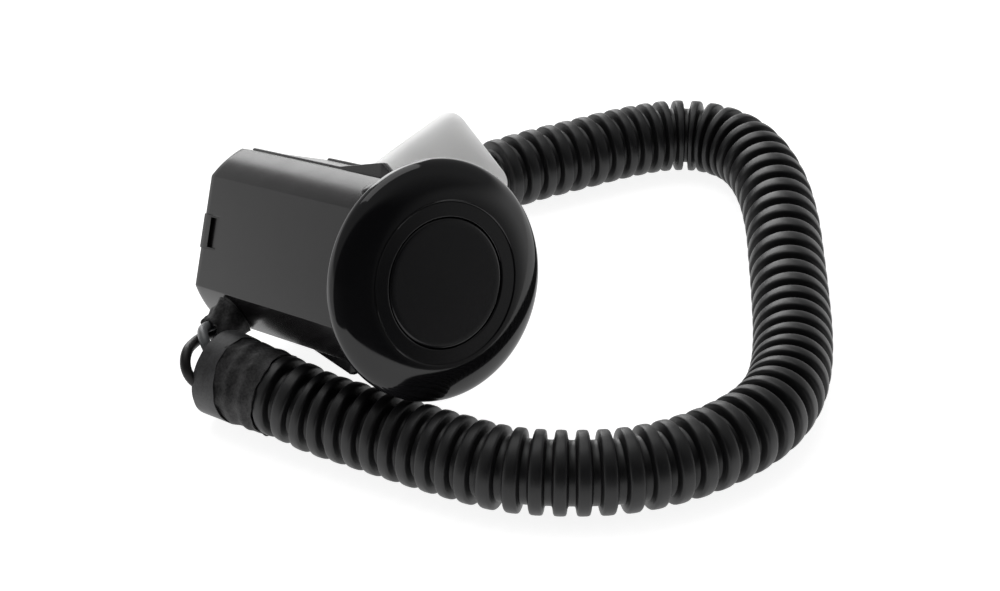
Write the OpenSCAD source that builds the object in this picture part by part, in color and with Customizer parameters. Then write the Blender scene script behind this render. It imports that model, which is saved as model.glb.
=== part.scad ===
// Parking sensor with its lead: a snap-in ultrasonic sensor lying on a table,
// its rim leaning on the ribbed conduit that carries three wires to a plug.
// Millimetres. Z is up from the table, the face looks along -Y and tilts up.

/* [Face] */
// Outside diameter of the face ring
bezel_d = 26; // [24.5:0.5:32]
// Depth of the ring's rim behind its widest line
bezel_back = 0.9; // [0.6:0.1:1.5]
// Height of the domed face round the membrane
bezel_dome = 2; // [1.4:0.1:3]
// Rounding of the ring's rim
rim_round = 1.5; // [1:0.1:1.6]
// Radius of the fine groove on the face
groove_r = 8.7; // [8.2:0.1:10]
// Width of that groove on each side of its bottom
groove_w = 0.2; // [0.1:0.05:0.4]
// Diameter of the membrane
membrane_d = 13.7; // [10:0.1:14.5]
// How far the membrane stands out from the ring's widest line
membrane_out = 1.85; // [1.6:0.05:2.4]
// Open gap between membrane and ring
membrane_gap = 0.2; // [0.1:0.05:0.5]

/* [Body] */
// Diameter across the round corners
body_d = 23.8; // [22:0.1:24]
// Width across the side flats
body_flat = 20.2; // [19.4:0.1:21.5]
// Height across the top and bottom flats
body_tall = 19.6; // [19:0.1:21.5]
// Length from the ring's widest line to the back
body_l = 33.7; // [30:0.1:44]
// Wall at the flats
wall = 1.5; // [1.2:0.1:2]
// Thickness of the back cover
cover_t = 2; // [1.5:0.1:3]
// Height of the snap window in each side
window_h = 3.4; // [2.5:0.1:5]
// Length of the snap window along the body
window_l = 1.7; // [1:0.1:2.5]
// Distance from the back to the window
window_in = 1.8; // [1.6:0.1:3]

/* [Snap ribs] */
// Thickness of each rib
rib_w = 0.8; // [0.5:0.1:1.5]
// Height of the barb at its crest
rib_h = 1.6; // [0.6:0.05:1.8]
// Height of the low rail behind the barb
rail_h = 0.25; // [0.2:0.05:0.6]
// Distance of the ribs from the middle of the flat
rib_x = 5; // [2:0.1:5.2]
// Panel space between the ring and the barb
panel_gap = 4.7; // [2:0.1:5]
// Length of the barb's ramp
ramp_l = 8.4; // [5:0.1:12]

/* [Transducer] */
// Wall of the metal cup
cup_wall = 0.9; // [0.6:0.1:1.4]
// Thickness of the cup's front
cup_front = 1; // [0.6:0.1:1.5]
// Depth of the cup behind the ring's widest line
cup_depth = 6; // [4:0.1:8]
// Wall of the soft ring round the cup
ring_wall = 1.75; // [1:0.05:2]
// Diameter of the ceramic disc
piezo_d = 7; // [5:0.1:9]
// Thickness of the ceramic disc
piezo_t = 0.6; // [0.3:0.1:1]
// Thickness of the foam behind the disc
foam_t = 4; // [2:0.1:5]

/* [Circuit] */
// Thickness of the board
board_t = 1.2; // [0.8:0.1:1.6]
// Height of the board's top above the body's middle
board_top = -1.4; // [-3:0.1:-1.2]
// Thickness of the ledge under each side of the board
ledge_t = 0.9; // [0.6:0.1:1.5]
// Side of the transformer
coil_w = 6.4; // [5:0.1:7]
// Height of the transformer
coil_h = 5.6; // [4:0.1:7]
// Diameter of the capacitor
cap_d = 4.6; // [3:0.1:5]
// Height of the capacitor
cap_h = 5.4; // [4:0.1:7]

/* [Lead] */
// Diameter of one wire
wire_d = 1.2; // [0.8:0.1:1.3]
// Outside diameter of the conduit
conduit_d = 9.1; // [8:0.1:9.2]
// Wall of the conduit with its ribs
conduit_wall = 1.2; // [0.8:0.1:1.5]
// Thickness of the tape wound on the conduit
tape_t = 0.3; // [0.1:0.05:0.4]
// Length of the tape winding
tape_l = 8.8; // [7:0.1:9]
// Width of the outer tape band at the mouth
band_l = 3; // [2:0.1:4]
// Thickness of the outer tape band
band_t = 0.12; // [0.05:0.01:0.15]

/* [Plug] */
// Width of the plug
plug_w = 12.6; // [12:0.1:14]
// Thickness of the plug
plug_h = 10; // [9:0.1:11]
// Length of the plug
plug_l = 20; // [18:0.5:22]
// Depth of the terminal behind the plug's face
socket_in = 1.2; // [0.5:0.1:3]
// Rounding of the plug's long edges
plug_round = 2.4; // [1.5:0.1:2.6]
// Spacing of the three ways
way_pitch = 2.8; // [2.2:0.1:3]
// Width of the latch under the plug
latch_w = 6; // [4:0.5:7]

/* [Resting pose] */
// Upward tilt of the face as it lies
rest_tilt = 16.2; // [12:0.1:20]
// Turn of the body about its own axis as it lies
rest_roll = 22; // [0:0.5:28]
// Roll of the plug as it lies on its edge and latch
plug_roll = 45; // [38:1:48]
// Heading of the plug
plug_turn = -66; // [-70:0.5:-62]

/* [Hidden] */
$fn = 64;
eps = 0.01;
fit = 0.1;
touch = 0.02;

// Face and transducer positions along the body's axis, zero at the ring's widest line
bezel_r = bezel_d / 2;
hole_r = membrane_d / 2 + membrane_gap;
ring_r = membrane_d / 2 + ring_wall;
spigot_wall = 0.9;
spigot_r = ring_r + spigot_wall;
skin_back = bezel_dome - 1.4;
spigot_top = skin_back - fit;
edge_round = 0.25;
groove_depth = 0.18;
rim_front = 0.2;
rim_back = 0.5;
cup_back = -cup_depth;
bore_floor = cup_back - 0.2;
floor_t = 1.2;
cavity_front = bore_floor - floor_t;
lead_hole_r = 4.6;
cup_in_r = membrane_d / 2 - cup_wall;
piezo_front = membrane_out - cup_front;
piezo_back = piezo_front - piezo_t;

// Body section and the room inside it
body_r = body_d / 2;
flat = body_flat / 2;
tall = body_tall / 2;
room = flat - wall;
room_up = tall - wall;
room_r = body_r - wall;
back = -body_l;
cover_recess = 0.3;
cover_in = back + cover_t;
window_z = back + window_in + window_l / 2;
tongue_t = 1.2;
tongue_l = window_in + window_l + 0.8 - cover_t;
tooth_out = 0.9;
barb_front = -bezel_back - panel_gap;
panel_land = 1.6;
fall_l = panel_gap - panel_land;
key_turn = 135;
key_d = 1.5;
key_out = 0.4;
key_z = -bezel_back - key_d;

// Board and the pieces on it
board_under = board_top - board_t;
board_gap = 1.6;
board_front = cavity_front - board_gap;
board_back = cover_in + tongue_l + 0.6;
board_w = room - fit;
ledge_w = 1.2;
coil_in = 2.2;
coil_z = board_front - coil_in - coil_w / 2;
core_wall = 1.1;
cap_z = coil_z - coil_w / 2 - 1 - cap_d / 2;
cap_x = 4.8;
chip_w = 5;
chip_h = 1.4;
chip_x = -2.6;
crystal_w = 3.2;
crystal_h = 1.6;
lead_d = 0.5;
lead_x = 1.4;
lead_on_board = 1.8;

// Wire exit through the lower left corner, close to the back
exit_in = 7.2;
exit_z = back + exit_in;
wire_gap = 0.12;
spread = wire_d / sqrt(3) + wire_gap;
bundle_r = wire_d / 2 + spread;
sleeve_in = bundle_r + 0.18;
sleeve_t = 0.3;
grommet_r = sleeve_in + 0.7;
grommet_lip = 0.7;
grommet_lip_r = grommet_r + 0.3;
grommet_out = 0.4;
exit_turn = 225;
lip_room = min(room, room_up) * sqrt(2) - grommet_lip_r;
lip_at = min(sqrt(pow(room_r, 2) - pow(grommet_lip_r, 2)), lip_room) - touch;
sleeve_l = 2.4;
sleeve_at = body_r + grommet_out;
solder_x = -3.4;
solder_gap = 0.25;
potting_l = 9;
potting_back = exit_z + grommet_lip_r + fit;
potting_gap = 1.6;
potting_top = board_under - potting_gap;

// Resting height and place: the back's lowest corner is on the table
corner_turn = acos(tall / body_r);
drop = body_r * cos(corner_turn - rest_roll);
seat_z = body_l * sin(rest_tilt) + drop * cos(rest_tilt);
reach_back = body_l * cos(rest_tilt) + drop * sin(rest_tilt);
reach_front = rim_front * cos(rest_tilt) + (bezel_r - rim_round) * sin(rest_tilt) + rim_round;
seat_y = (reach_front - reach_back) / 2;

// Conduit route on the table, measured from the ground point under the face
conduit_r = conduit_d / 2;
conduit_in = conduit_r - conduit_wall;
lie = conduit_r;
mouth_z = conduit_r + tape_t + band_t + touch;
route = [[-15.3, 18.7, mouth_z], [-13.8, 14.4, mouth_z], [-12.3, 10.1, mouth_z], [-10.8, 6.6, lie],
  [-9.1, 2.8, lie], [-6.5, -3, lie], [-3.7, -8.8, lie], [-0.6, -14, lie], [4, -18.2, lie], [9.4, -21.4, lie],
  [15.4, -23, lie], [21.4, -23.2, lie], [27, -22.2, lie], [32, -19.8, lie], [36.6, -16, lie],
  [41.4, -10.8, lie], [46.6, -4.4, lie], [52.4, 3, lie], [58.2, 10.6, lie], [63, 18, lie], [66, 24.6, lie],
  [66.8, 29.8, lie], [65.2, 34.4, lie], [61.4, 37.4, lie], [55.6, 39, lie], [49.4, 39.8, lie],
  [43, 40.6, lie], [36.4, 41, lie]];

// Plug, lying on its lower long edge and its latch
plug_x = 23.2;
plug_y = 38.4;
plug_z = (plug_w / 2 - plug_round) * sin(plug_roll) + (plug_h / 2 - plug_round) * cos(plug_roll) + plug_round;
latch_h = (plug_z - latch_w / 2 * sin(plug_roll)) / cos(plug_roll) - plug_h / 2;
latch_l = 8;
plug_back = plug_l / 2;
cap_plate = 1;
mat_l = 3.6;
mat_side = 1.5;
mat_w = 2 * (way_pitch + mat_side);
mat_h = 4.4;
way_w = 1.6;
way_x = 1.4;
way_z = -0.5;
socket_w = 0.8;
socket_l = 5;
wire_in = cap_plate + mat_l + 1.6;
lock_w = 4;
lock_l = 3.4;
lock_t = 1.4;

// Path helpers
function unit(v) = v / norm(v);
function tangent(p, i) = unit(p[min(i + 1, len(p) - 1)] - p[max(i - 1, 0)]);
function across(t) = unit([-t[1], t[0], 0]);
function ring(c, t, r, n) = let (a = across(t), b = cross(t, a))
  [for (k = [0 : n - 1]) c + r * (cos(360 * k / n) * a + sin(360 * k / n) * b)];
function beside(p, off) = [for (i = [0 : len(p) - 1]) let (t = tangent(p, i), a = across(t), b = cross(t, a))
  p[i] + off[0] * a + off[1] * b];
function from_face(p) = [p[0], p[1] + seat_y, p[2]];
function on_sensor(p) = let (x = cos(rest_roll) * p[0] + sin(rest_roll) * p[1],
  u = cos(rest_roll) * p[1] - sin(rest_roll) * p[0])
  [x, seat_y - p[2] * cos(rest_tilt) + u * sin(rest_tilt),
    seat_z + p[2] * sin(rest_tilt) + u * cos(rest_tilt)];
function on_plug(p) = let (x = cos(plug_roll) * p[0] + sin(plug_roll) * p[2])
  [plug_x + x * cos(plug_turn) - p[1] * sin(plug_turn),
    plug_y + seat_y + x * sin(plug_turn) + p[1] * cos(plug_turn),
    plug_z - sin(plug_roll) * p[0] + cos(plug_roll) * p[2]];
function on_exit(out) = on_sensor([out * cos(exit_turn), out * sin(exit_turn), exit_z]);

// The wires leave the board, pass the grommet as a bundle and loop one by one into the conduit
conduit_path = [for (p = route) from_face(p)];
bundle_drop = concat(
  [for (u = [board_under - solder_gap, 1.6 * board_under]) on_sensor([solder_x, u, exit_z])],
  [for (out = [0.75 * lip_at, lip_at, sleeve_at]) on_exit(out)]);
sleeve_path = [for (out = [0, 0.5, 1]) on_exit(sleeve_at + out * sleeve_l)];
loops = [
  [[-15, 24.2, 7.2], [-17.2, 22.5, 7.9], [-19.2, 20.4, 8.6], [-20.2, 19.2, 8], [-20.2, 18.6, 6.8],
    [-19.3, 18.4, 5.5], [-17.4, 19, 4.9]],
  [[-15, 23.6, 8.6], [-16.3, 22, 9.3], [-17, 20.5, 9.2], [-17, 19.5, 8.2]],
  [[-14.4, 22.5, 6.8], [-14.9, 21, 5.6], [-14.7, 19.7, 4.4]]];
way_turn = [225, 105, 345];
way_at = [0, -1, 1];
row_gap = wire_d + 0.3;
row_turn = -45;
lead_in = 2;
function wire_path(k) = concat(
    beside(concat(bundle_drop, sleeve_path), spread * [cos(way_turn[k]), sin(way_turn[k])]),
    [for (p = loops[k]) from_face(p)],
    beside(conduit_path, way_at[k] * row_gap * [cos(row_turn), sin(row_turn)]),
    [for (y = [plug_back + lead_in, plug_back, plug_back - wire_in])
      on_plug([way_x + way_at[k] * way_pitch, y, way_z])]);

module in_sensor() {
  translate([0, seat_y, seat_z]) rotate([90 - rest_tilt, 0, 0]) rotate([0, 0, -rest_roll]) children();
}

module in_plug() {
  translate([plug_x, plug_y + seat_y, plug_z]) rotate([0, plug_roll, plug_turn]) children();
}

module in_ways() {
  in_plug() translate([way_x, 0, way_z]) children();
}

module at_exit() {
  rotate([0, 0, exit_turn]) translate([0, 0, exit_z]) rotate([0, 90, 0]) children();
}

module at_mouth() {
  aim = route[1] - route[0];
  translate(from_face(route[0])) rotate([0, 90, atan2(aim[1], aim[0])]) children();
}

module rod(path, r, n) {
  m = len(path);
  polyhedron(
    points = [for (i = [0 : m - 1]) each ring(path[i], tangent(path, i), r, n)],
    faces = concat([[for (k = [0 : n - 1]) k]], [[for (k = [n - 1 : -1 : 0]) (m - 1) * n + k]],
      [for (i = [0 : m - 2]) for (k = [0 : n - 1]) let (a = i * n + k, b = i * n + (k + 1) % n)
        each [[a, a + n, b], [b, a + n, b + n]]]));
}

module pipe(path, r, r_in, n) {
  m = len(path);
  w = 2 * n;
  polyhedron(
    points = [for (i = [0 : m - 1]) let (t = tangent(path, i))
      each concat(ring(path[i], t, r, n), ring(path[i], t, r_in, n))],
    faces = [for (k = [0 : n - 1]) let (j = (k + 1) % n, e = (m - 1) * w)
      each [[k, j, k + n], [j, j + n, k + n], [e + k, e + k + n, e + j], [e + j, e + k + n, e + j + n],
        for (i = [0 : m - 2]) let (a = i * w + k, b = i * w + j)
          each [[a, a + w, b], [b, a + w, b + w],
            [a + n, b + n, a + w + n], [b + n, b + w + n, a + w + n]]]]);
}

module body_section(r, half, high, z0, z1) {
  intersection() {
    translate([0, 0, z0]) cylinder(r = r, h = z1 - z0);
    translate([-half, -high, z0]) cube([2 * half, 2 * high, z1 - z0]);
  }
}

function dome(r) = bezel_dome - (bezel_dome - rim_front - rim_round)
  * (pow(r, 2) - pow(hole_r, 2)) / (pow(bezel_r - rim_round, 2) - pow(hole_r, 2));

module bezel() {
  steps = 6;
  out_r = bezel_r - rim_round;
  in_r = groove_r + groove_w;
  color("#1c1c1f") in_sensor() rotate_extrude() polygon(concat(
    [[spigot_r + fit, -bezel_back]],
    [for (a = [-90, -60, -30, 0])
      [bezel_r + rim_back * (cos(a) - 1), rim_back - bezel_back + rim_back * sin(a)]],
    [for (a = [0 : 15 : 75]) [out_r + rim_round * cos(a), rim_front + rim_round * sin(a)]],
    [for (i = [0 : steps]) let (r = out_r - (out_r - in_r) * i / steps) [r, dome(r)]],
    [[groove_r, dome(groove_r) - groove_depth], [groove_r - groove_w, dome(groove_r - groove_w)]],
    [[hole_r + edge_round, dome(hole_r + edge_round)], [hole_r, bezel_dome - edge_round], [hole_r, skin_back],
      [spigot_r + fit, skin_back]]));
}

module membrane_cup() {
  r = membrane_d / 2;
  color("#18181b") in_sensor() rotate_extrude() polygon([[0, membrane_out], [r - edge_round, membrane_out],
    [r, membrane_out - edge_round], [r, cup_back], [cup_in_r, cup_back], [cup_in_r, piezo_front],
    [0, piezo_front]]);
}

module decoupling_ring() {
  color("#3a3b3d") in_sensor() difference() {
    translate([0, 0, bore_floor]) cylinder(r = ring_r, h = spigot_top - bore_floor);
    translate([0, 0, cup_back]) cylinder(r = membrane_d / 2, h = membrane_out - cup_back);
    translate([0, 0, bore_floor - eps]) cylinder(r = cup_in_r, h = cup_depth);
  }
}

module piezo_disc() {
  color("#cfc9b8") in_sensor() translate([0, 0, piezo_back]) cylinder(d = piezo_d, h = piezo_t);
}

module damping_foam() {
  color("#8a8478") in_sensor() difference() {
    translate([0, 0, piezo_back - foam_t]) cylinder(r = cup_in_r - fit, h = foam_t);
    lead_holes();
  }
}

module lead_holes() {
  for (x = [-lead_x, lead_x]) translate([x, board_top + lead_d / 2, piezo_back - foam_t - eps])
    cylinder(d = lead_d + fit, h = foam_t + 2 * eps, $fn = 16);
}

module snap_rib(x, rail_back) {
  translate([x - rib_w / 2, tall, 0]) rotate([0, -90, 0]) translate([0, 0, -rib_w]) linear_extrude(rib_w)
    polygon([[rail_back, -wall / 2], [rail_back, rail_h], [barb_front - ramp_l, rail_h], [barb_front, rib_h],
      [barb_front + fall_l, rail_h], [barb_front + fall_l, -wall / 2]]);
}

module housing() {
  color("#4a4748") in_sensor() difference() {
    union() {
      body_section(body_r, flat, tall, back, -bezel_back);
      translate([0, 0, bore_floor]) cylinder(r = spigot_r, h = spigot_top - bore_floor);
      for (x = [-rib_x, rib_x]) {
        snap_rib(x, back);
        rotate([0, 0, 180]) snap_rib(x, barb_front - ramp_l - rail_h);
      }
      rotate([0, 0, key_turn]) translate([body_r - wall / 2, 0, key_z]) rotate([0, 90, 0])
        cylinder(d = key_d, h = wall / 2 + key_out, $fn = 32);
    }
    translate([0, 0, bore_floor]) cylinder(r = ring_r, h = spigot_top - bore_floor + eps);
    translate([0, 0, cavity_front - eps]) cylinder(r = lead_hole_r, h = floor_t + 2 * eps);
    difference() {
      body_section(room_r, room, room_up, back - eps, cavity_front);
      for (s = [-1, 1]) translate([s * (room - ledge_w / 2) - ledge_w / 2, board_under - ledge_t, board_back])
        cube([ledge_w, ledge_t, cavity_front - board_back + eps]);
    }
    for (s = [-1, 1]) translate([s * (flat - wall / 2), 0, window_z])
      cube([wall + 2 * eps, window_h, window_l], center = true);
    at_exit() translate([0, 0, room]) cylinder(r = grommet_r, h = body_r);
  }
}

module rear_cover() {
  color("#434142") in_sensor() union() {
    body_section(room_r - touch, room - touch, room_up - touch, back + cover_recess, cover_in);
    for (s = [-1, 1]) {
      translate([s * (room - fit - tongue_t / 2) - tongue_t / 2, -window_h / 2 + fit, cover_in - eps])
        cube([tongue_t, window_h - 2 * fit, tongue_l + eps]);
      translate([s * (room - fit + tooth_out / 2) - tooth_out / 2 - eps, -window_h / 2 + fit,
        window_z - window_l / 2 + fit])
        cube([tooth_out + 2 * eps, window_h - 2 * fit, window_l - 2 * fit]);
    }
  }
}

module circuit_board() {
  color("#1f5a3a") in_sensor() translate([-board_w, board_under, board_back])
    cube([2 * board_w, board_t, board_front - board_back]);
}

module transformer_core() {
  color("#55565a") in_sensor() translate([0, board_top, coil_z]) difference() {
    translate([-coil_w / 2, 0, -coil_w / 2]) cube([coil_w, coil_h, coil_w]);
    translate([0, core_wall, 0]) rotate([-90, 0, 0]) cylinder(d = coil_w - core_wall, h = coil_h);
  }
}

module transformer_coil() {
  color("#b0703a") in_sensor() translate([0, board_top + core_wall, coil_z]) rotate([-90, 0, 0])
    cylinder(d = coil_w - core_wall - 2 * touch, h = coil_h - 2 * core_wall);
}

module capacitor() {
  color("#3b4a63") in_sensor() translate([cap_x, board_top, cap_z]) rotate([-90, 0, 0])
    cylinder(d = cap_d, h = cap_h);
}

module driver_chip() {
  color("#26272a") in_sensor() translate([chip_x - chip_w / 2, board_top, cap_z - chip_w / 2])
    cube([chip_w, chip_h, chip_w]);
}

module crystal() {
  color("#b9bcc0") in_sensor() translate([-room + ledge_w, board_top, coil_z - crystal_w / 2])
    cube([crystal_w, crystal_h, crystal_w]);
}

module piezo_leads() {
  color("#b5432f") in_sensor() for (x = [-lead_x, lead_x])
    translate([x, board_top + lead_d / 2, board_front - lead_on_board])
      cylinder(d = lead_d, h = piezo_back - board_front + lead_on_board, $fn = 16);
}

module potting() {
  color("#2b2723") in_sensor() intersection() {
    body_section(room_r - touch, room - touch, room_up - touch, potting_back, potting_back + potting_l);
    translate([-room, -room, back]) cube([2 * room, potting_top + room, body_l]);
  }
}

module cable_grommet() {
  color("#202022") in_sensor() at_exit() difference() {
    union() {
      translate([0, 0, lip_at - grommet_lip]) cylinder(r = grommet_lip_r, h = grommet_lip);
      translate([0, 0, lip_at - eps]) cylinder(r = grommet_r - touch, h = sleeve_at - lip_at + eps);
    }
    cylinder(r = sleeve_in, h = body_d);
  }
}

module wire_power() {
  color("#1f1d1e") rod(wire_path(0), wire_d / 2, 8);
}

module wire_ground() {
  color("#1b1b1d") rod(wire_path(2), wire_d / 2, 8);
}

module wire_signal() {
  color("#5d6066") rod(wire_path(1), wire_d / 2, 8);
}

module bundle_tape() {
  color("#2c2c2e") pipe(sleeve_path, sleeve_in + sleeve_t, sleeve_in, 16);
}

module conduit() {
  color("#242427") pipe(conduit_path, conduit_r, conduit_in, 12);
}

module conduit_tape() {
  color("#2e2e30") at_mouth() difference() {
    cylinder(r = conduit_r + tape_t, h = tape_l);
    translate([0, 0, -eps]) cylinder(r = conduit_r + touch / 2, h = tape_l + 2 * eps);
  }
}

module tape_band() {
  color("#4a4a4d") at_mouth() difference() {
    cylinder(r = conduit_r + tape_t + band_t, h = band_l);
    translate([0, 0, -eps]) cylinder(r = conduit_r + tape_t, h = band_l + 2 * eps);
  }
}

module plug_block(w, h, l, r) {
  translate([0, l / 2, 0]) rotate([90, 0, 0]) linear_extrude(l) union() {
    square([w - 2 * r, h], center = true);
    square([w, h - 2 * r], center = true);
    for (x = [-1, 1]) for (y = [-1, 1]) translate([x * (w / 2 - r), y * (h / 2 - r)]) circle(r);
  }
}

module connector_shell() {
  color("#c9c9c7") in_plug() difference() {
    union() {
      plug_block(plug_w, plug_h, plug_l, plug_round);
      translate([-latch_w / 2, -latch_l / 2, -plug_h / 2 - latch_h])
        cube([latch_w, latch_l, latch_h + plug_round]);
    }
    translate([way_x - mat_w / 2, plug_back - mat_l - cap_plate, way_z - mat_h / 2])
      cube([mat_w, mat_l + cap_plate + eps, mat_h]);
    for (k = way_at) translate([way_x + k * way_pitch, 0, way_z]) {
      translate([0, plug_back, 0]) rotate([90, 0, 0]) cylinder(d = wire_d + fit, h = wire_in, $fn = 24);
      translate([-way_w / 2, -plug_back - eps, -way_w / 2]) cube([way_w, plug_l - wire_in + eps, way_w]);
    }
    translate([-plug_w / 2 - eps, -lock_l / 2, -lock_w / 2]) cube([lock_t + eps, lock_l, lock_w]);
  }
}

module connector_terminals() {
  w = way_w - 2 * touch;
  color("#b89a4a") in_ways() for (k = way_at)
    translate([k * way_pitch, -plug_back + socket_in, 0]) difference() {
    translate([-w / 2, 0, -w / 2]) cube([w, plug_l - wire_in - socket_in - touch, w]);
    translate([-socket_w / 2, -eps, -socket_w / 2]) cube([socket_w, socket_l, socket_w]);
  }
}

module connector_lock() {
  color("#a9aaa8") in_plug() translate([-plug_w / 2, -lock_l / 2 + touch, -lock_w / 2 + touch])
    cube([lock_t, lock_l - 2 * touch, lock_w - 2 * touch]);
}

module wire_holes() {
  for (k = way_at) translate([k * way_pitch, plug_l, 0]) rotate([90, 0, 0])
    cylinder(d = wire_d + 2 * touch, h = plug_l, $fn = 24);
}

module seal_mat() {
  color("#4f9a5a") in_ways() difference() {
    translate([-mat_w / 2 + touch, plug_back - mat_l - cap_plate, -mat_h / 2 + touch])
      cube([mat_w - 2 * touch, mat_l, mat_h - 2 * touch]);
    wire_holes();
  }
}

module rear_cap() {
  color("#bdbdbb") in_ways() difference() {
    translate([-mat_w / 2 + touch, plug_back - cap_plate, -mat_h / 2 + touch])
      cube([mat_w - 2 * touch, cap_plate, mat_h - 2 * touch]);
    wire_holes();
  }
}

bezel();
membrane_cup();
decoupling_ring();
piezo_disc();
damping_foam();
housing();
rear_cover();
circuit_board();
transformer_core();
transformer_coil();
capacitor();
driver_chip();
crystal();
piezo_leads();
potting();
cable_grommet();
wire_power();
wire_ground();
wire_signal();
bundle_tape();
conduit();
conduit_tape();
tape_band();
connector_shell();
connector_terminals();
connector_lock();
seal_mat();
rear_cap();
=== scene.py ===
import math
import bpy
import numpy as np
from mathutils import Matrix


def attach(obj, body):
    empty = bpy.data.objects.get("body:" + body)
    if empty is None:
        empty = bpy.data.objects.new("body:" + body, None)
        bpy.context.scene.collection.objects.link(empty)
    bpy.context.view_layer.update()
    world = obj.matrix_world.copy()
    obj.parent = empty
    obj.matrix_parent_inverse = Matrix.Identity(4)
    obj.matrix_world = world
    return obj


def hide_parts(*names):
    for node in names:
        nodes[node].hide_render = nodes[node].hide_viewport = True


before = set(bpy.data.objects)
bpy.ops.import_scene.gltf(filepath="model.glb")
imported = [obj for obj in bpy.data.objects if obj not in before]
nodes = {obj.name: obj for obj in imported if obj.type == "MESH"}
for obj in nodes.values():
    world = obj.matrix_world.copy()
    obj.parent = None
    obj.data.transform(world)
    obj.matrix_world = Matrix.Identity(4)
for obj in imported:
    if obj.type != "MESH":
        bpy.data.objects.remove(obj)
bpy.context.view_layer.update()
print("frame loaded")

# Camera at the photograph's place, in metres and degrees
view = dict(place=(-0.1363, -0.21807, 0.15974), turn=(60, 0, -35.5), lens=95.9, sensor=36)

cameraData = bpy.data.cameras.new("camera")
cameraData.lens = view["lens"]
cameraData.sensor_width = view["sensor"]
camera = bpy.data.objects.new("camera", cameraData)
camera.location = view["place"]
camera.rotation_euler = [math.radians(a) for a in view["turn"]]
bpy.context.scene.collection.objects.link(camera)
bpy.context.scene.camera = camera
bpy.context.scene.view_settings.view_transform = "Standard"
print("camera set")

# All sizes below are in millimetres, in the row frame unless a place function is named
pose = dict(tilt=math.radians(16.2), roll=math.radians(22), seat=np.array([0, -15.351, 20.556]))
plugPose = dict(roll=math.radians(45), turn=math.radians(-66), seat=np.array([23.2, 23.049, 6.996]))


def fromSensor(p):
    # right, up and forward of the sensor to the row frame: a roll about its axis, then its tilt
    c, s = math.cos(pose["roll"]), math.sin(pose["roll"])
    ct, st = math.cos(pose["tilt"]), math.sin(pose["tilt"])
    x, u, z = c * p[..., 0] + s * p[..., 1], c * p[..., 1] - s * p[..., 0], p[..., 2]
    return np.stack([x, u * st - z * ct, u * ct + z * st], -1) + pose["seat"]


def fromPlug(p):
    # right, rear and top of the plug to the row frame: its roll, then its heading
    c, s = math.cos(plugPose["roll"]), math.sin(plugPose["roll"])
    ct, st = math.cos(plugPose["turn"]), math.sin(plugPose["turn"])
    x, y, z = c * p[..., 0] + s * p[..., 2], p[..., 1], c * p[..., 2] - s * p[..., 0]
    return np.stack([x * ct - y * st, x * st + y * ct, z], -1) + plugPose["seat"]


def gridFaces(rows, cols, closed=False, keep=None):
    # quads between neighbouring rows and columns, the last column joined to the first if closed
    i, j = np.meshgrid(np.arange(rows - 1), np.arange(cols if closed else cols - 1), indexing="ij")
    k = (j + 1) % cols
    quads = np.stack([i * cols + j, i * cols + k, (i + 1) * cols + k, (i + 1) * cols + j], -1)
    return quads[keep] if keep is not None else quads.reshape(-1, 4)


def addPiece(name, patches, slot, stands=(), sharp=40):
    # joins patches of (points, quads) into one mesh in metres, smooth where faces meet at less than an angle
    points = np.concatenate([p.reshape(-1, 3) for p, f in patches]) * 0.001
    starts = np.cumsum([0] + [p.size // 3 for p, f in patches[:-1]])
    quads = np.concatenate([f + s for (p, f), s in zip(patches, starts)])
    mesh = bpy.data.meshes.new(name)
    mesh.from_pydata(points.tolist(), [], quads.tolist())
    mesh.polygons.foreach_set("use_smooth", np.ones(len(mesh.polygons), bool))
    mesh.set_sharp_from_angle(angle=math.radians(sharp))
    mesh.materials.append(materials[slot])
    piece = bpy.data.objects.new(name, mesh)
    bpy.context.scene.collection.objects.link(piece)
    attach(piece, "root")
    if stands:
        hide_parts(*stands)
    return piece


def smoothPath(points, step, fine=24):
    # a Catmull-Rom curve through the points, sampled again at an even step along its length
    p = np.asarray(points, float)
    e = np.concatenate([[2 * p[0] - p[1]], p, [2 * p[-1] - p[-2]]])
    t = np.linspace(0, 1, fine, endpoint=False)[None, :, None]
    a, b, c, d = e[:-3, None], e[1:-2, None], e[2:-1, None], e[3:, None]
    curve = 2 * b + (c - a) * t + (2 * a - 5 * b + 4 * c - d) * t ** 2 + (3 * b - a - 3 * c + d) * t ** 3
    curve = np.concatenate([0.5 * curve.reshape(-1, 3), p[-1:]])
    along = np.concatenate([[0], np.cumsum(np.linalg.norm(np.diff(curve, axis=0), axis=1))])
    at = np.linspace(0, along[-1], max(2, int(round(along[-1] / step)) + 1))
    return np.stack([np.interp(at, along, curve[:, k]) for k in range(3)], -1), at


def pathFrame(path):
    # direction, level cross direction and third direction at each point of a path
    t = np.gradient(path, axis=0)
    t /= np.linalg.norm(t, axis=1, keepdims=True)
    a = np.stack([-t[:, 1], t[:, 0], 0 * t[:, 0]], -1)
    a /= np.linalg.norm(a, axis=1, keepdims=True)
    return t, a, np.cross(t, a)


def besidePath(path, off, angle):
    # a path carried aside by an offset, at an angle round it
    t, a, b = pathFrame(path)
    return path + off * (math.cos(angle) * a + math.sin(angle) * b)


def sweep(path, at, s, r, around):
    # rings of radius r at the lengths s along a path; both are one number per ring or one per point
    t, a, b = pathFrame(path)
    s = np.broadcast_to(s[:, None] if np.ndim(s) == 1 else s, (len(s), around))
    r = np.broadcast_to(r[:, None] if np.ndim(r) == 1 else r, (len(s), around))
    # each number of the path is read off at the lengths s
    pick = lambda q: np.stack([np.interp(s, at, q[:, k]) for k in range(3)], -1)
    turn = np.linspace(0, 2 * math.pi, around, endpoint=False)[None, :, None]
    out = np.cos(turn) * pick(a) + np.sin(turn) * pick(b)
    return pick(path) + out * r[..., None], gridFaces(len(s), around, True)


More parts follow.
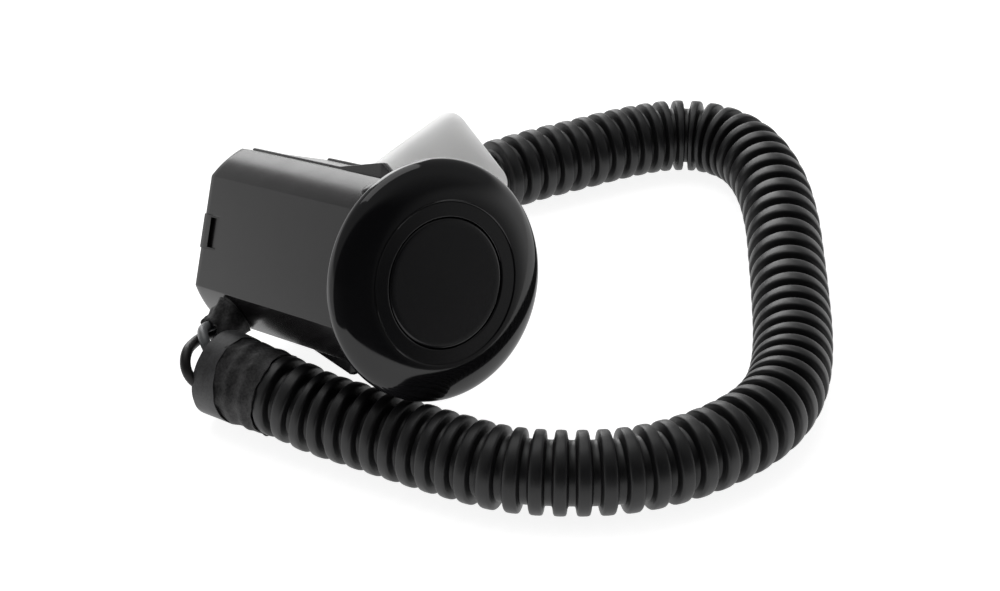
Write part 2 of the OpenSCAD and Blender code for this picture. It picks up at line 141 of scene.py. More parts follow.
def edged(r, s, low):
    # first and last rings carried down to a lower radius, so that a wrap shows its thickness
    low = np.full((1, r.shape[1]), low)
    return np.concatenate([low, r, low]), np.concatenate([s[:1], s, s[-1:]])


def wrapGrid(plan):
    # share of the length and angle round it, for every point of a wrap
    turn = np.linspace(0, 2 * math.pi, plan["around"], endpoint=False)
    return np.meshgrid(np.linspace(0, 1, plan["steps"]), turn, indexing="ij")


def ripples(a, s, waves):
    # a sum of waves, each a size times one or two sines of turns * a + rate * s + phase
    sines = [[np.sin(turns * a + rate * s + phase) for turns, rate, phase in parts] for size, *parts in waves]
    return sum(wave[0] * math.prod(parts) for wave, parts in zip(waves, sines))


def lathe(profile, around, place):
    # a profile of radius and height turned about the axis
    turn = np.linspace(0, 2 * math.pi, around, endpoint=False)
    r, z = profile[:, :1], profile[:, 1:]
    p = np.stack([r * np.cos(turn), r * np.sin(turn), z + 0 * turn], -1)
    return place(p), gridFaces(len(profile), around, True)


def arc(cx, cy, r, a0, a1, n):
    # n points on a circle from one angle to another, in degrees
    a = np.radians(np.linspace(a0, a1, n))
    return np.stack([cx + r * np.cos(a), cy + r * np.sin(a)], -1)


# Shader helpers
def link(tree, a, b):
    # joins an output to an input
    tree.links.new(a, b)


def setInputs(node, values):
    # writes plain values into the inputs of a node
    for label, value in values.items():
        node.inputs[label].default_value = value


def mathNode(tree, operation, first, second):
    # one number from two outputs
    node = tree.nodes.new("ShaderNodeMath")
    node.operation = operation
    link(tree, first, node.inputs[0])
    link(tree, second, node.inputs[1])
    return node.outputs[0]


def makeGroup(name, inputs, outputs):
    # an empty node group with its named sockets, and its input and output nodes
    group = bpy.data.node_groups.new(name, "ShaderNodeTree")
    for label, value in inputs:
        group.interface.new_socket(label, in_out="INPUT", socket_type="NodeSocketFloat").default_value = value
    for label, kind in outputs:
        group.interface.new_socket(label, in_out="OUTPUT", socket_type=kind)
    return group, group.nodes.new("NodeGroupInput"), group.nodes.new("NodeGroupOutput")


# Mottle: soft blotches over finer specks, from 0 to 1
mottlePlan = dict(scale=200.0, fine=0.35, speckTimes=9.0, usualLow=0.3, usualHigh=0.7)

mottleInputs = [("Scale", mottlePlan["scale"]), ("Fine", mottlePlan["fine"])]
mottle, mottleIn, mottleOut = makeGroup("mottle", mottleInputs, [("Mask", "NodeSocketFloat")])
coord = mottle.nodes.new("ShaderNodeTexCoord")
blotch = mottle.nodes.new("ShaderNodeTexNoise")
speck = mottle.nodes.new("ShaderNodeTexNoise")
finer = mottle.nodes.new("ShaderNodeMath")
finer.operation = "MULTIPLY"
finer.inputs[1].default_value = mottlePlan["speckTimes"]
blend = mottle.nodes.new("ShaderNodeMix")
link(mottle, mottleIn.outputs["Scale"], finer.inputs[0])
link(mottle, mottleIn.outputs["Scale"], blotch.inputs["Scale"])
link(mottle, finer.outputs[0], speck.inputs["Scale"])
link(mottle, coord.outputs["Object"], blotch.inputs["Vector"])
link(mottle, coord.outputs["Object"], speck.inputs["Vector"])
link(mottle, mottleIn.outputs["Fine"], blend.inputs[0])
link(mottle, blotch.outputs[0], blend.inputs[2])
link(mottle, speck.outputs[0], blend.inputs[3])
link(mottle, blend.outputs[0], mottleOut.inputs["Mask"])

# Grain: the fine relief of a moulded surface
grainPlan = dict(scale=3000.0, depth=0.00002, detail=3.0)

grainInputs = [("Scale", grainPlan["scale"]), ("Depth", grainPlan["depth"])]
grain, grainIn, grainOut = makeGroup("grain", grainInputs, [("Normal", "NodeSocketVector")])
coord = grain.nodes.new("ShaderNodeTexCoord")
relief = grain.nodes.new("ShaderNodeTexNoise")
relief.inputs["Detail"].default_value = grainPlan["detail"]
bump = grain.nodes.new("ShaderNodeBump")
link(grain, coord.outputs["Object"], relief.inputs["Vector"])
link(grain, grainIn.outputs["Scale"], relief.inputs["Scale"])
link(grain, relief.outputs[0], bump.inputs["Height"])
link(grain, grainIn.outputs["Depth"], bump.inputs["Distance"])
link(grain, bump.outputs[0], grainOut.inputs["Normal"])


# What a surface is made with unless its look says otherwise
usual = dict(scale=300, fine=0.35, soft=0.5, grain=4000, depth=0.000004, specular=0.5, metallic=0, milky=0,
             milkDepth=0.002)


def makeMaterial(name, look):
    # a surface whose colour and roughness drift between two values over a mottle, with a fine grain
    look = {**usual, **look}
    material = bpy.data.materials.new(name)
    material.use_nodes = True
    tree = material.node_tree
    surface = tree.nodes["Principled BSDF"]
    spots = tree.nodes.new("ShaderNodeGroup")
    spots.node_tree = mottle
    setInputs(spots, {"Scale": look["scale"], "Fine": look["fine"]})
    colour = tree.nodes.new("ShaderNodeMix")
    colour.data_type = "RGBA"
    colour.inputs[6].default_value = (*look["low"], 1)
    colour.inputs[7].default_value = (*look["high"], 1)
    shade = tree.nodes.new("ShaderNodeMapRange")
    setInputs(shade, {"From Min": 0.5 - look["soft"], "From Max": 0.5 + look["soft"]})
    link(tree, spots.outputs["Mask"], shade.inputs["Value"])
    link(tree, shade.outputs[0], colour.inputs[0])
    link(tree, colour.outputs[2], surface.inputs["Base Color"])
    rough = tree.nodes.new("ShaderNodeMapRange")
    setInputs(rough, {"From Min": mottlePlan["usualLow"], "From Max": mottlePlan["usualHigh"],
                      "To Min": look["rough"][0], "To Max": look["rough"][1]})
    link(tree, spots.outputs["Mask"], rough.inputs["Value"])
    link(tree, rough.outputs[0], surface.inputs["Roughness"])
    skin = tree.nodes.new("ShaderNodeGroup")
    skin.node_tree = grain
    setInputs(skin, {"Scale": look["grain"], "Depth": look["depth"]})
    link(tree, skin.outputs["Normal"], surface.inputs["Normal"])
    setInputs(surface, {"Specular IOR Level": look["specular"], "Metallic": look["metallic"],
                        "Subsurface Weight": look["milky"], "Subsurface Radius": (1, 1, 1),
                        "Subsurface Scale": look["milkDepth"]})
    return material


looks = dict(
    gloss_black=dict(low=(0.0075, 0.0075, 0.0085), high=(0.0105, 0.0105, 0.0115), rough=(0.06, 0.09),
                     scale=120, grain=700, depth=0.000001, specular=0.42),
    painted_cup=dict(low=(0.0085, 0.0085, 0.0095), high=(0.0105, 0.0105, 0.0115), rough=(0.20, 0.24),
                     scale=120, grain=2500, depth=0.0000004, specular=0.36),
    silicone=dict(low=(0.014, 0.014, 0.015), high=(0.024, 0.024, 0.025), rough=(0.5, 0.6)),
    ceramic=dict(low=(0.58, 0.54, 0.44), high=(0.66, 0.62, 0.52), rough=(0.5, 0.65)),
    foam=dict(low=(0.20, 0.18, 0.15), high=(0.30, 0.27, 0.23), rough=(0.9, 1.0), grain=1500, depth=0.00008),
    body_plastic=dict(low=(0.005, 0.0045, 0.005), high=(0.008, 0.0075, 0.008), rough=(0.2, 0.26), scale=260,
                      grain=5000, depth=0.000001, specular=0.21),
    board=dict(low=(0.012, 0.09, 0.04), high=(0.02, 0.13, 0.06), rough=(0.3, 0.4)),
    ferrite=dict(low=(0.07, 0.07, 0.075), high=(0.11, 0.11, 0.115), rough=(0.6, 0.7), depth=0.00002),
    copper=dict(low=(0.42, 0.17, 0.06), high=(0.52, 0.23, 0.09), rough=(0.3, 0.42), metallic=1),
    capacitor_can=dict(low=(0.03, 0.055, 0.10), high=(0.05, 0.08, 0.14), rough=(0.3, 0.4)),
    chip=dict(low=(0.014, 0.014, 0.016), high=(0.022, 0.022, 0.024), rough=(0.6, 0.7)),
    crystal_can=dict(low=(0.50, 0.51, 0.53), high=(0.62, 0.63, 0.65), rough=(0.25, 0.35), metallic=1),
    lead_plastic=dict(low=(0.36, 0.04, 0.025), high=(0.45, 0.06, 0.04), rough=(0.4, 0.5)),
    potting=dict(low=(0.018, 0.015, 0.013), high=(0.028, 0.024, 0.020), rough=(0.3, 0.45)),
    wire_dark=dict(low=(0.011, 0.010, 0.010), high=(0.018, 0.017, 0.017), rough=(0.38, 0.48), specular=0.25),
    wire_black=dict(low=(0.010, 0.010, 0.011), high=(0.016, 0.016, 0.018), rough=(0.38, 0.48)),
    wire_grey=dict(low=(0.10, 0.104, 0.108), high=(0.14, 0.145, 0.15), rough=(0.38, 0.48)),
    tape=dict(low=(0.005, 0.005, 0.0055), high=(0.064, 0.063, 0.064), rough=(0.45, 0.7), scale=420,
              fine=0.45, soft=0.17, grain=1400, depth=0.0001, specular=0.16),
    conduit_plastic=dict(low=(0.008, 0.008, 0.0085), high=(0.012, 0.012, 0.013), rough=(0.38, 0.46),
                         scale=400, grain=5000, depth=0.000004, specular=0.42),
    band_tape=dict(low=(0.028, 0.028, 0.029), high=(0.072, 0.072, 0.074), rough=(0.35, 0.5), scale=450,
                   fine=0.4, soft=0.2, grain=1500, depth=0.00003, specular=0.26),
    plug_plastic=dict(low=(0.87, 0.87, 0.86), high=(0.92, 0.92, 0.91), rough=(0.45, 0.55), scale=250,
                      depth=0.000006, milky=1.0, milkDepth=0.006),
    terminal=dict(low=(0.48, 0.36, 0.14), high=(0.58, 0.45, 0.20), rough=(0.25, 0.35), metallic=1),
    seal_green=dict(low=(0.06, 0.26, 0.09), high=(0.08, 0.33, 0.12), rough=(0.5, 0.6)),
)
materials = {name: makeMaterial(name, look) for name, look in looks.items()}
print("materials made")

# Conduit: a corrugated tube lying on the table from under the sensor, round its face and back behind it;
# drawn is the share of the usual pitch at lengths along it, rib the height of one rib along its pitch
conduit = dict(
    outer=4.55, inner=3.1, pitch=2.23, depth=1.05, clear=0.017, tuck=8, around=64, step=0.5, samples=2000,
    mouthRise=0.44, mouthPoints=3,
    drawn=[[0, 1], [34, 1], [48, 1.07], [60, 1.1], [74, 1.06], [88, 1.3], [100, 1.52], [112, 1.55],
           [122, 1.48], [130, 1.25], [138, 0.9], [146, 0.9], [154, 1.1], [160, 1.15]],
    route=[[-15.3, 18.7], [-13.8, 14.4], [-12.3, 10.1], [-10.8, 6.6], [-9.1, 2.8], [-6.5, -3], [-3.7, -8.8],
           [-0.6, -14], [4, -18.2], [9.4, -21.4], [15.4, -23], [21.4, -23.2], [27, -22.2], [32, -19.8],
           [36.6, -16], [41.4, -10.8], [46.6, -4.4], [52.4, 3], [58.2, 10.6], [63, 18], [66, 24.6],
           [66.8, 29.8], [65.2, 34.4], [61.4, 37.4], [55.6, 39], [49.4, 39.8], [43, 40.6], [36.4, 41]],
    rib=[[0, 0], [0.11, 0], [0.15, 0.06], [0.18, 0.3], [0.205, 0.68], [0.235, 0.88], [0.28, 0.97], [0.36, 1],
         [0.5, 1.01], [0.64, 1], [0.72, 0.97], [0.765, 0.88], [0.795, 0.68], [0.82, 0.3], [0.85, 0.06],
         [0.89, 0]])

route = np.array(conduit["route"], float)
routeLine = np.column_stack([route + [0, pose["seat"][1]], np.full(len(route), conduit["outer"])])
routeLine[:conduit["mouthPoints"], 2] += conduit["mouthRise"]
conduitPath, conduitAt = smoothPath(routeLine, conduit["step"])
conduitLength = conduitAt[-1]
# drawn out along the right side, pressed together in the far bend: ribs are counted as the sum of 1 / pitch
along = np.linspace(0, conduitLength, conduit["samples"])
ribRate = 1 / np.interp(along, *np.transpose(conduit["drawn"]))
count = np.cumsum(ribRate)
count = (count - count[0]) / (count[-1] - count[0])
ribs = round(np.mean(ribRate) * conduitLength / conduit["pitch"])
ribEdge = np.interp(np.linspace(0, 1, ribs + 1), count, along)
ribPitch = ribEdge[1]
ribShare, ribRise = np.transpose(conduit["rib"])
ribAt = (ribEdge[:-1, None] + ribShare * np.diff(ribEdge)[:, None]).ravel()
ribR = conduit["outer"] - conduit["depth"] * (1 - np.tile(ribRise, ribs)) - conduit["clear"]
inside, tuck = conduit["inner"], conduit["tuck"]
tubeAt = np.concatenate([[tuck, 0, 0], ribAt[1:], [conduitLength] * 2, [conduitLength - tuck]])
tubeR = np.concatenate([[inside, inside, ribR[0]], ribR[1:], [ribR[-1], inside, inside]])
tube = sweep(conduitPath, conduitAt, tubeAt, tubeR, conduit["around"])
conduitPiece = addPiece("conduitTube", [tube], "conduit_plastic", ["conduit"])
print("conduit made", round(conduitLength, 1), "mm,", ribs, "ribs")

# Tape round the conduit's mouth: a wrinkled dark wrap that sinks a little between the ribs and ends raggedly
wrap = dict(length=7.3, lift=0.2, sag=0.22, under=0.01, around=160, steps=96, ragged=0.16, wrinkle=0.1,
            tears=[(1, (3, 0, 1)), (0.6, (7, 0, 0)), (0.3, (17, 0, 0))],
            creases=[(1, (3, 2.1, 0), (5, -1.3, 0.7)), (0.6, (11, 1.7, 0), (2, 0.9, 0))],
            fold=0.5, foldTurns=6, foldRate=0.8, sway=0.9, swayTurns=3)

t, a = wrapGrid(wrap)
wrapAt = t * (wrap["length"] + wrap["ragged"] * ripples(a, t, wrap["tears"]) * t)
sag = 0.5 - 0.5 * np.cos(2 * math.pi * wrapAt / ribPitch)
sway = wrap["sway"] * np.sin(wrap["swayTurns"] * a)
fold = np.abs(np.sin(wrap["foldTurns"] * a + wrap["foldRate"] * wrapAt + sway))
crease = ripples(a, wrapAt, wrap["creases"]) + wrap["fold"] * fold
wrapR = conduit["outer"] + wrap["lift"] - wrap["sag"] * (1 - sag) + wrap["wrinkle"] * crease
wrapR, wrapAt = edged(wrapR, wrapAt, conduit["outer"] + wrap["under"])
tube = sweep(conduitPath, conduitAt, wrapAt, wrapR, wrap["around"])
wrapPiece = addPiece("conduitWrap", [tube], "tape", ["conduit_tape"])

# Light tape band over the wrap's mouth end, wound a little askew and standing past the mouth
band = dict(start=-1.2, length=1.75, narrow=math.radians(150), spread=0.45, under=math.radians(245), skew=0.6,
            lift=0.36, inner=0.22, slack=0.05, past=2, around=160, steps=30,
            startTears=[(0.16, (2, 0, 0.6)), (0.1, (5, 0, 1))],
            endTears=[(0.06, (5, 0, 0)), (0.04, (13, 0, 0))],
            creases=[(0.03, (4, 3, 0), (7, -2, 0))])

t, a = wrapGrid(band)
bandStart = band["start"] + ripples(a, t, band["startTears"])
bandEnd = band["length"] + band["spread"] * (1 - np.cos(a - band["narrow"]))
bandEnd = bandEnd + band["skew"] * np.cos(a - band["under"]) + ripples(a, t, band["endTears"])
bandAt = bandStart + t * (bandEnd - bandStart)
bandR = conduit["outer"] + band["lift"] + ripples(a, t, band["creases"]) - band["slack"] * t ** 2
bandR, bandAt = edged(bandR, bandAt, conduit["outer"] + band["inner"])
# the path is carried straight back past the mouth by a few of its steps, and the band ends there
bandPath = np.concatenate([[2 * conduitPath[0] - conduitPath[band["past"]]], conduitPath])
bandLine = np.concatenate([[-conduitAt[band["past"]]], conduitAt])
tube = sweep(bandPath, bandLine, bandAt, bandR, band["around"])
bandPiece = addPiece("tapeBand", [tube], "band_tape", ["tape_band"])
print("tapes made")

# Wires: three that leave the housing's corner as a bundle, loop into the conduit and go on to the plug
wires = dict(radius=0.6, tip=0.02, step=0.4, spread=0.813, exitZ=-26.5, around=24, solder=-3.4,
             drop=[-2.85, -4.16], out=[6.84, 9.12, 12.3, 13.5, 14.7], pitch=2.8, plugBack=10, leadIn=2,
             wireIn=6.2, wayX=1.4, wayZ=-0.5, rowGap=1.5, rowTurn=-45)
eachWire = dict(
    wirePower=dict(slot="wire_dark", stands=["wire_power"], turn=225, way=0,
                   loop=[[-15, 24.2, 7.2], [-17.2, 22.5, 7.9], [-19.2, 20.4, 8.6], [-20.2, 19.2, 8],
                         [-20.2, 18.6, 6.8], [-19.3, 18.4, 5.5], [-17.4, 19, 4.9]]),
    wireSignal=dict(slot="wire_grey", stands=["wire_signal"], turn=105, way=-1,
                    loop=[[-15, 23.6, 8.6], [-16.3, 22, 9.3], [-17, 20.5, 9.2], [-17, 19.5, 8.2]]),
    wireGround=dict(slot="wire_black", stands=["wire_ground"], turn=345, way=1,
                    loop=[[-14.4, 22.5, 6.8], [-14.9, 21, 5.6], [-14.7, 19.7, 4.4]]))

corner = -math.sqrt(0.5)
drop = np.array([[wires["solder"], u, wires["exitZ"]] for u in wires["drop"]]
                + [[corner * out, corner * out, wires["exitZ"]] for out in wires["out"]])
drop = fromSensor(drop)
for name, plan in eachWire.items():
    endX = wires["wayX"] + plan["way"] * wires["pitch"]
    endY = wires["plugBack"] + np.array([wires["leadIn"], 0, -wires["wireIn"]])
    ends = np.stack([np.full(3, endX), endY, np.full(3, wires["wayZ"])], -1)
    bundle = besidePath(drop, wires["spread"], math.radians(plan["turn"]))
    loop = np.array(plan["loop"]) + [0, pose["seat"][1], 0]
    row = besidePath(routeLine, plan["way"] * wires["rowGap"], math.radians(wires["rowTurn"]))
    line, at = smoothPath(np.concatenate([bundle, loop, row, fromPlug(ends)]), wires["step"])
    r = np.concatenate([[wires["tip"]], np.full(len(at), wires["radius"]), [wires["tip"]]])
    tube = sweep(line, at, np.concatenate([at[:1], at, at[-1:]]), r, wires["around"])
    addPiece(name, [tube], plan["slot"], plan["stands"])
print("wires made")

# Sleeve of tape round the bundle outside the grommet: lumpy turns, wider over the grommet, with a ragged end
sleeve = dict(inner=1.6, start=-0.3, end=2.7, wide=2.5, narrow=2.0, taper=0.6, reach=0.4, step=0.1,
              around=96, steps=40, lump=0.12, ragged=0.3,
              tears=[(1, (2, 0, 0.5)), (0.6, (5, 0, 0)), (0.35, (11, 0, 1))],
              lumps=[(1, (2, 1.9, 0), (3, -1.1, 0)), (0.5, (7, 2.3, 0)), (0.5, (1, 4.4, 0))])

beyond = sleeve["reach"] * (drop[-1] - drop[-3])
sleevePath = np.stack([drop[-3] - beyond, *drop[-3:], drop[-1] + beyond])
sleevePath, sleeveAt = smoothPath(sleevePath, sleeve["step"])
sleeveAt = sleeveAt - np.linalg.norm(beyond)
t, a = wrapGrid(sleeve)
tear = sleeve["ragged"] * ripples(a, t, sleeve["tears"])
sleeveTurns = sleeve["start"] + t * (sleeve["end"] + tear * t - sleeve["start"])
sleeveR = sleeve["wide"] + (sleeve["narrow"] - sleeve["wide"]) * t ** sleeve["taper"]
sleeveR = sleeveR + sleeve["lump"] * ripples(a, sleeveTurns, sleeve["lumps"])
sleeveR, sleeveTurns = edged(sleeveR, sleeveTurns, sleeve["inner"])
tube = sweep(sleevePath, sleeveAt, sleeveTurns, sleeveR, sleeve["around"])
sleevePiece = addPiece("bundleTape", [tube], "tape", ["bundle_tape"])

# Housing: a round body with four flats and softened corners, open at the back round its cover
body = dict(r=11.9, flat=10.1, tall=9.8, soften=0.3, blendSteps=7, arcSteps=14, back=-33.7, front=-0.9,
            wall=1.5, lipDeep=2.4, lip=0.1, edge=0.25, edgeTurns=[25, 50, 70], backRow=1, frontGap=0.02,
            frontIn=2.2, stations=[-27, -22, -17, -12, -8, -4, -2], windowHalf=1.7, windowZ=(-31.9, -30.2),
            windowRows=[0.05, 0.1], middle=0.8, strap=0.16, strapHalf=1.95, strapSeam=0.03, strapPast=0.6,
            farOff=99.0, slack=0.01, toothDeep=0.2, toothGap=0.02)


def bodyOutline(inset):
    # from the right flat to the top one: a flat, a small blend arc, the main arc, a blend arc, half a flat;
    # mirrored about the upright line and then about the level one. With it comes the distance of each point
    # from the middle of its side flat, or a large number off those flats
    r, q = body["r"] - inset, body["soften"]
    f, g = body["flat"] - inset, body["tall"] - inset
    h, k = math.sqrt((r - q) ** 2 - (f - q) ** 2), math.sqrt((r - q) ** 2 - (g - q) ** 2)
    low, high = math.degrees(math.atan2(h, f - q)), math.degrees(math.atan2(g - q, k))
    w, v, seam = body["windowHalf"], body["strapHalf"], body["strapSeam"]
    half = np.array([0, body["middle"], w, (w + v) / 2, v - seam, v + seam, v + body["strapPast"], h])
    arcs = [arc(f - q, h, q, 0, low, body["blendSteps"])[1:], arc(0, 0, r, low, high, body["arcSteps"])[1:],
            arc(k, g - q, q, high, 90, body["blendSteps"])[1:]]
    quarter = np.concatenate([np.stack([np.full(len(half), f), half], -1), *arcs, [[k / 2, g], [0, g]]])
    side = np.concatenate([half, np.full(len(quarter) - len(half), body["farOff"])])
    upper = np.concatenate([quarter, (quarter * [-1, 1])[-2::-1]])
    upperSide = np.concatenate([side, side[-2::-1]])
    outline = np.concatenate([upper, (upper * [1, -1])[-2:0:-1]])
    return outline, np.concatenate([upperSide, upperSide[-2:0:-1]])


e, back, wall, (w0, w1) = body["edge"], body["back"], body["wall"], body["windowZ"]
rows = [(wall, back + body["lipDeep"]), (wall, back + body["lip"]), (wall - body["lip"], back), (e, back)]
rows += [(e - e * math.sin(k), back + e - e * math.cos(k)) for k in np.radians(body["edgeTurns"])]
rows += [(0, z) for z in (back + e, back + body["backRow"], w0, w1)]
rows += [(0, w1 + z) for z in body["windowRows"]]
rows += [(0, z) for z in body["stations"]]
rows += [(inset, body["front"] - body["frontGap"]) for inset in (0, body["frontIn"])]
outlines = [bodyOutline(inset) for inset, z in rows]
skin = np.array([np.column_stack([line, np.full(len(line), z)])
                 for (line, off), (inset, z) in zip(outlines, rows)])
line, sideOff = outlines[-1]
# the strap behind the window stands out a little
pull = sideOff < body["strapHalf"]
raised = [i for i, (inset, z) in enumerate(rows) if inset <= e and z <= w0 + body["slack"]]
skin[np.ix_(raised, np.where(pull)[0], [0])] += (body["strap"] * np.sign(line[pull, 0]))[None, :, None]
cut = np.zeros((len(rows) - 1, skin.shape[1]), bool)
inWindow = (sideOff <= body["windowHalf"]) & (np.roll(sideOff, -1) <= body["windowHalf"])
cut[rows.index((0, w0)), inWindow] = True
patches = [(fromSensor(skin), gridFaces(len(rows), skin.shape[1], True, ~cut))]
w, gap = body["windowHalf"], body["toothGap"]
for side in (-1, 1):
    # window walls: the opening's outline carried inward
    loop = np.array([[w, w0], [w, w1], [-w, w1], [-w, w0]])[::-side]
    rim = body["flat"] + np.where(loop[:, 1] == w0, body["strap"], 0)
    deep = np.full(len(loop), body["flat"] - wall)
    walls = np.stack([np.column_stack([side * d, loop]) for d in (rim, deep)])
    patches.append((fromSensor(walls), gridFaces(2, 4, True)))
    # the cover's tooth fills the opening a little below its rim
    y, z = np.meshgrid([side * (gap - w), side * (w - gap)], [w0 + gap, w1 - gap])
    tooth = np.stack([np.full(y.shape, side * (body["flat"] - body["toothDeep"])), y, z], -1)
    patches.append((fromSensor(tooth), gridFaces(2, 2)))

# Snap ribs on the top and the bottom: a low rail that rises to a barb behind the face
snap = dict(x=5.0, width=0.8, rail=0.25, crest=1.6, barb=-5.6, ramp=8.4, fall=3.1, foot=-0.5, round=0.14,
            tailRise=0.7, tailRun=0.15, crown=0.2, crownBack=0.04, crownFront=0.07, corner=0.3, deep=9.0,
            topTail=0.3, lowTail=0.35)


def snapRib(x, tail, flip):
    # the top line of height along the body, carried across the width with rounded top corners
    top, barb, rail, foot = snap["crest"], snap["barb"], snap["rail"], snap["foot"]
    line = np.array([[tail, foot], [tail, rail * snap["tailRise"]], [tail + snap["tailRun"], rail],
                     [barb - snap["ramp"], rail], [barb - snap["crown"], top - snap["crownBack"]],
                     [barb, top], [barb + snap["crown"], top - snap["crownFront"]],
                     [barb + snap["fall"], rail], [barb + snap["fall"], foot]])
    half, q, c = snap["width"] / 2, snap["round"], snap["corner"] * snap["round"]
    across = np.array([-half, -half, -half + c, -half + q, half - q, half - c, half, half])
    lower = np.array([snap["deep"], q, c, 0, 0, c, q, snap["deep"]])
    h = np.maximum(line[:, 1:] - lower, foot)
    p = np.stack([x + across + 0 * h, body["tall"] + h, line[:, :1] + 0 * h], -1)
    if flip:
        p[..., :2] *= -1
    return fromSensor(p), gridFaces(len(line), len(across))[:, ::-1]


for x in (-snap["x"], snap["x"]):
    patches.append(snapRib(x, body["back"] + snap["topTail"], False))
    patches.append(snapRib(x, snap["barb"] - snap["ramp"] - snap["lowTail"], True))

# Key pip on the upper left corner close to the face
key = dict(turn=math.radians(135), radius=0.75, out=0.4, z=-2.4, foot=-0.4, tip=0.01, around=28,
           round=[[0, 0.15], [0.05, 0.04], [0.16, 0]])

pipEdge = np.array([key["radius"], key["out"]]) - key["round"]
pip = np.concatenate([[[key["radius"], key["foot"]]], pipEdge, [[key["tip"], key["out"]]]])


def atKey(p):
    # radius and height of the pip to the body: outward along its corner's bisector
    out, side = p[..., 2] + body["r"], p[..., 0]
    c, s = math.cos(key["turn"]), math.sin(key["turn"])
    return fromSensor(np.stack([out * c - side * s, out * s + side * c, key["z"] + p[..., 1]], -1))


patches.append(lathe(pip, key["around"], atKey))
addPiece("housingBody", patches, "body_plastic", ["housing"], sharp=38)
print("housing made")

# Face ring: nearly flat inside a fine line, a quarter ellipse from there to the rim, and a rounded back edge
ring = dict(r=13.0, back=-0.9, rimBack=0.5, dome=2.0, fall=2.07, hole=7.05, slope=0.035, line=8.7,
            lineWidth=0.1, lineHalf=0.03, lineDepth=0.1, lip=0.12, lipTurn=92, inside=9.65, floor=0.6,
            bendEnd=88, bendSteps=34, innerSteps=10, rimSteps=8, lipSteps=6, around=192)

# the inside falls evenly outward from the hole
domeAt = lambda r: ring["dome"] - ring["slope"] * (r - ring["hole"])
lipR, groove = ring["hole"] + ring["lip"], domeAt(ring["line"]) - ring["lineDepth"]
inner = np.linspace(ring["line"] - ring["lineWidth"], lipR, ring["innerSteps"])
bend = np.radians(np.linspace(0, ring["bendEnd"], ring["bendSteps"]))
bend = np.stack([ring["line"] + (ring["r"] - ring["line"]) * np.cos(bend),
                 domeAt(ring["line"]) - ring["fall"] * (1 - np.sin(bend))], -1)
soft = ring["rimBack"]
rim = arc(ring["r"] - soft, ring["back"] + soft, soft, -90, 0, ring["rimSteps"])
lip = arc(lipR, domeAt(lipR) - ring["lip"], ring["lip"], ring["lipTurn"], 180, ring["lipSteps"])
ringLine = np.concatenate([
    [[ring["inside"], ring["floor"]], [ring["inside"], ring["back"]]], rim, bend,
    [[ring["line"] + ring["lineHalf"], groove], [ring["line"] - ring["lineHalf"], groove]],
    np.stack([inner, domeAt(inner)], -1), lip,
    [[ring["hole"], ring["floor"]], [ring["inside"], ring["floor"]]]])
addPiece("faceRing", [lathe(ringLine, ring["around"], fromSensor)], "gloss_black", ["bezel"])

# Membrane: the painted end of the transducer's cup, level with the ring's hole and slightly crowned
membrane = dict(r=6.95, front=2.02, edge=0.3, edgeEnd=85, edgeSteps=6, skirt=-0.5, crown=0.03, tip=0.01,
                steps=16, around=160)

flatR, edge = membrane["r"] - membrane["edge"], membrane["edge"]
run = np.linspace(membrane["tip"], flatR, membrane["steps"])[::-1]
crown = membrane["front"] + membrane["crown"] * (1 - (run / membrane["r"]) ** 2)
cupLine = np.concatenate([
    [[membrane["r"], membrane["skirt"]]],
    arc(flatR, membrane["front"] - edge, edge, 0, membrane["edgeEnd"], membrane["edgeSteps"]),
    np.stack([run, crown], -1)])
addPiece("membraneFace", [lathe(cupLine, membrane["around"], fromSensor)], "painted_cup", ["membrane_cup"])
print("face made")

# Every CAD piece that stays gets its slot's material
slotOf = dict(decoupling_ring="silicone", piezo_disc="ceramic", damping_foam="foam",
              rear_cover="body_plastic", circuit_board="board", transformer_core="ferrite",
              transformer_coil="copper", capacitor="capacitor_can", driver_chip="chip",
              crystal="crystal_can", piezo_leads="lead_plastic", potting="potting",
              cable_grommet="silicone", connector_shell="plug_plastic",
              connector_terminals="terminal", connector_lock="plug_plastic", seal_mat="seal_green",
              rear_cap="plug_plastic")
for name, slot in slotOf.items():
    nodes[name].data.materials.clear()
    nodes[name].data.materials.append(materials[slot])
print("CAD pieces finished")

# Pale floor, lit a little from below like a light table
floorPlan = dict(low=(-0.07, -0.09), high=(0.40, 0.55), glow=0.78, seen=0.88,
                 colour=(0.6, 0.6, 0.6), rough=0.9)

floorMesh = bpy.data.meshes.new("floor")
(x0, y0), (x1, y1) = floorPlan["low"], floorPlan["high"]
floorMesh.from_pydata([(x0, y0, 0), (x1, y0, 0), (x1, y1, 0), (x0, y1, 0)], [], [(0, 1, 2, 3)])
floor = bpy.data.objects.new("floor", floorMesh)
bpy.context.scene.collection.objects.link(floor)
floorMaterial = bpy.data.materials.new("floor")
floorMaterial.use_nodes = True
tree = floorMaterial.node_tree
surface = tree.nodes["Principled BSDF"]
setInputs(surface, {"Base Color": (*floorPlan["colour"], 1), "Roughness": floorPlan["rough"],
                    "Specular IOR Level": 0, "Emission Color": (1, 1, 1, 1)})
path = tree.nodes.new("ShaderNodeLightPath")  # camera, mirror and glass rays see the floor glow a little more
shown = mathNode(tree, "MAXIMUM", path.outputs["Is Camera Ray"], path.outputs["Is Glossy Ray"])
shown = mathNode(tree, "MAXIMUM", shown, path.outputs["Is Transmission Ray"])
even = tree.nodes.new("ShaderNodeMix")
even.inputs[2].default_value = floorPlan["glow"]
even.inputs[3].default_value = floorPlan["seen"]
link(tree, shown, even.inputs[0])
link(tree, even.outputs[0], surface.inputs["Emission Strength"])
floorMesh.materials.append(floorMaterial)

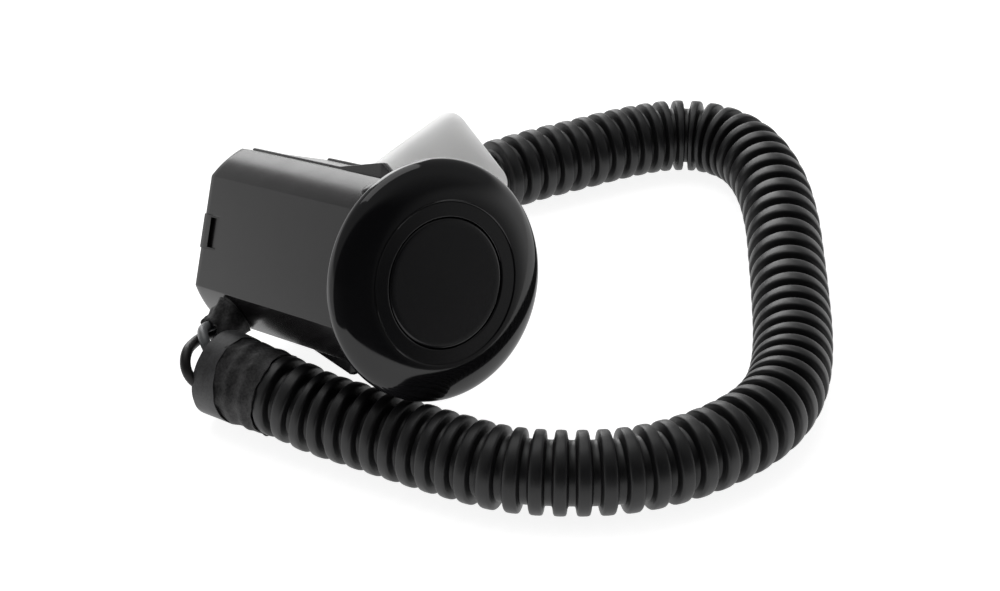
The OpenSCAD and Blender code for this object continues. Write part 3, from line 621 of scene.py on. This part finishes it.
# World: white walls at the height of the object, a dim ceiling, a dark room in front, darkest to the left;
# the camera itself sees it white
tent = dict(wall=1.0, ceiling=0.28, low=0.1, top=0.32, room=0.15, aim=(0.0, -1.0, 0.0), start=0.45, end=0.97,
            dark=0.05, darkAim=(-0.5, -0.866, 0), darkStart=0.47, darkEnd=0.64)

world = bpy.data.worlds.new("tent")
bpy.context.scene.world = world
world.use_nodes = True
tree = world.node_tree
ground = tree.nodes["Background"]
coord = tree.nodes.new("ShaderNodeTexCoord")


def worldRamp(aim, start, end, low, high):
    # a value that goes smoothly from low to high as a direction turns towards the aim
    dot = tree.nodes.new("ShaderNodeVectorMath")
    dot.operation = "DOT_PRODUCT"
    dot.inputs[1].default_value = aim
    level = tree.nodes.new("ShaderNodeMapRange")
    level.interpolation_type = "SMOOTHSTEP"
    setInputs(level, {"From Min": start, "From Max": end, "To Min": low, "To Max": high})
    link(tree, coord.outputs["Generated"], dot.inputs[0])
    link(tree, dot.outputs["Value"], level.inputs["Value"])
    return level.outputs[0]


ceiling = worldRamp((0, 0, 1), tent["low"], tent["top"], tent["wall"], tent["ceiling"])
room = worldRamp(tent["aim"], tent["start"], tent["end"], 1.0, tent["room"])
shade = worldRamp(tent["darkAim"], tent["darkStart"], tent["darkEnd"], 1.0, tent["dark"])
front = mathNode(tree, "MULTIPLY", room, shade)
both = mathNode(tree, "MULTIPLY", ceiling, front)
ray = tree.nodes.new("ShaderNodeLightPath")
white = tree.nodes.new("ShaderNodeMix")
white.inputs[3].default_value = 1.0
link(tree, ray.outputs["Is Camera Ray"], white.inputs[0])
link(tree, both, white.inputs[2])
link(tree, white.outputs[0], ground.inputs["Strength"])
ground.inputs["Color"].default_value = (1, 1, 1, 1)

# One large soft lamp overhead and a smaller one behind to the right, in metres, degrees and watts
lamps = dict(overhead=dict(place=(0.1, 0.35, 0.85), turn=(-22, 6.5, 0), size=0.8, energy=3.0),
             backlight=dict(place=(0.25, 0.6, 0.25), turn=(-69, 0, -22.6), size=0.35, energy=1.4))

for name, lamp in lamps.items():
    lampData = bpy.data.lights.new(name, "AREA")
    lampData.size = lamp["size"]
    lampData.energy = lamp["energy"]
    lampObject = bpy.data.objects.new(name, lampData)
    lampObject.location = lamp["place"]
    lampObject.rotation_euler = [math.radians(a) for a in lamp["turn"]]
    bpy.context.scene.collection.objects.link(lampObject)
print("stage set")
